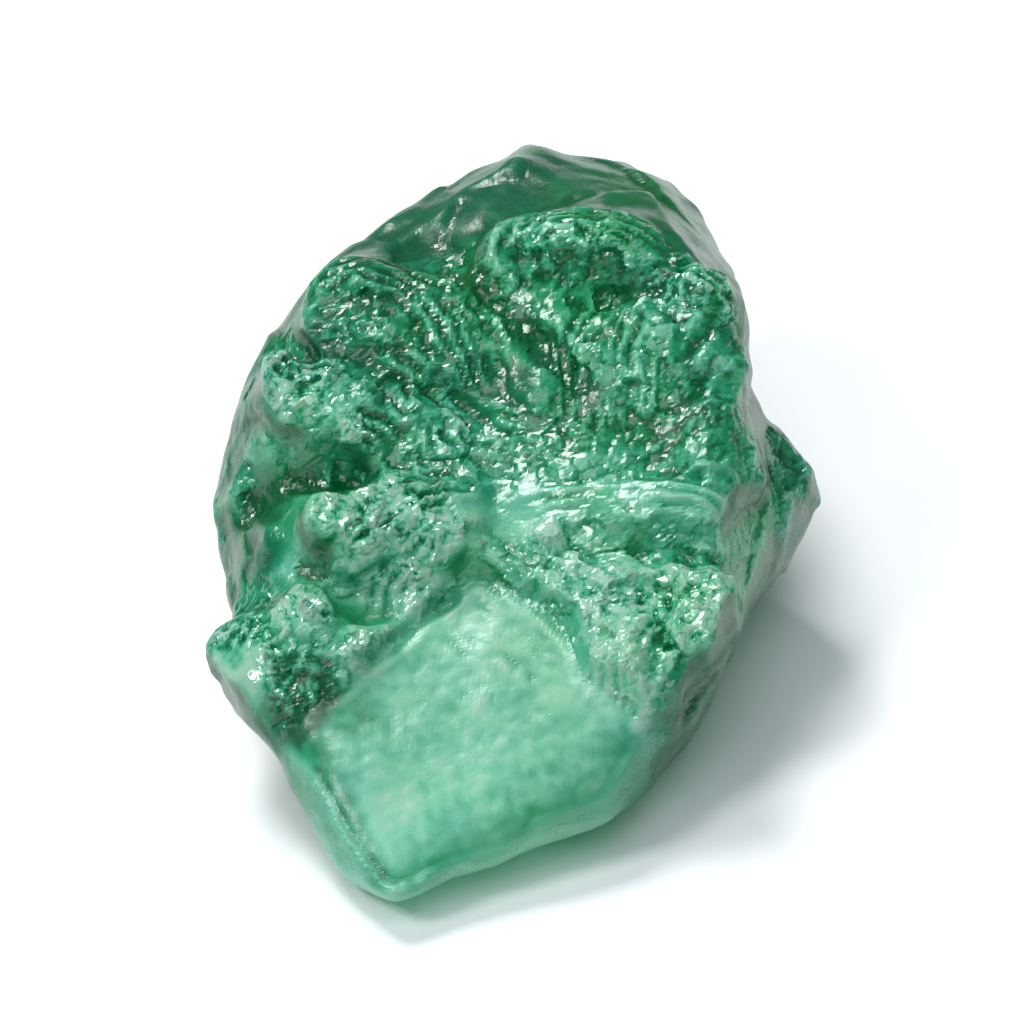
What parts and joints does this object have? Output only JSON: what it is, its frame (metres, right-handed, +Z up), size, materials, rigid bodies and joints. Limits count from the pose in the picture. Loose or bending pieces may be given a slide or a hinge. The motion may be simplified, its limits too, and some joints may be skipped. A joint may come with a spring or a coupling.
{
  "type": "rough emerald",
  "caption": "Rough green gem crystal fragment: a chunky wedge with a lumpy crust, a clean cleavage face running to a pointed tip, and smooth broken faces behind.",
  "frame": {"origin": "under the middle of the bounding box, on the flat underside that the stone rests on", "axes": "+Z up from the resting surface; the stone's long direction runs along Y with the pointed tip towards -Y; +X is to the right of a viewer who looks along +Y at the tip and the crust"},
  "size_m": [0.016, 0.0232, 0.011],
  "materials": {
    "beryl": "satin"
  },
  "bodies": {
    "root": {"rough_emerald": "beryl"}
  },
  "joints": []
}
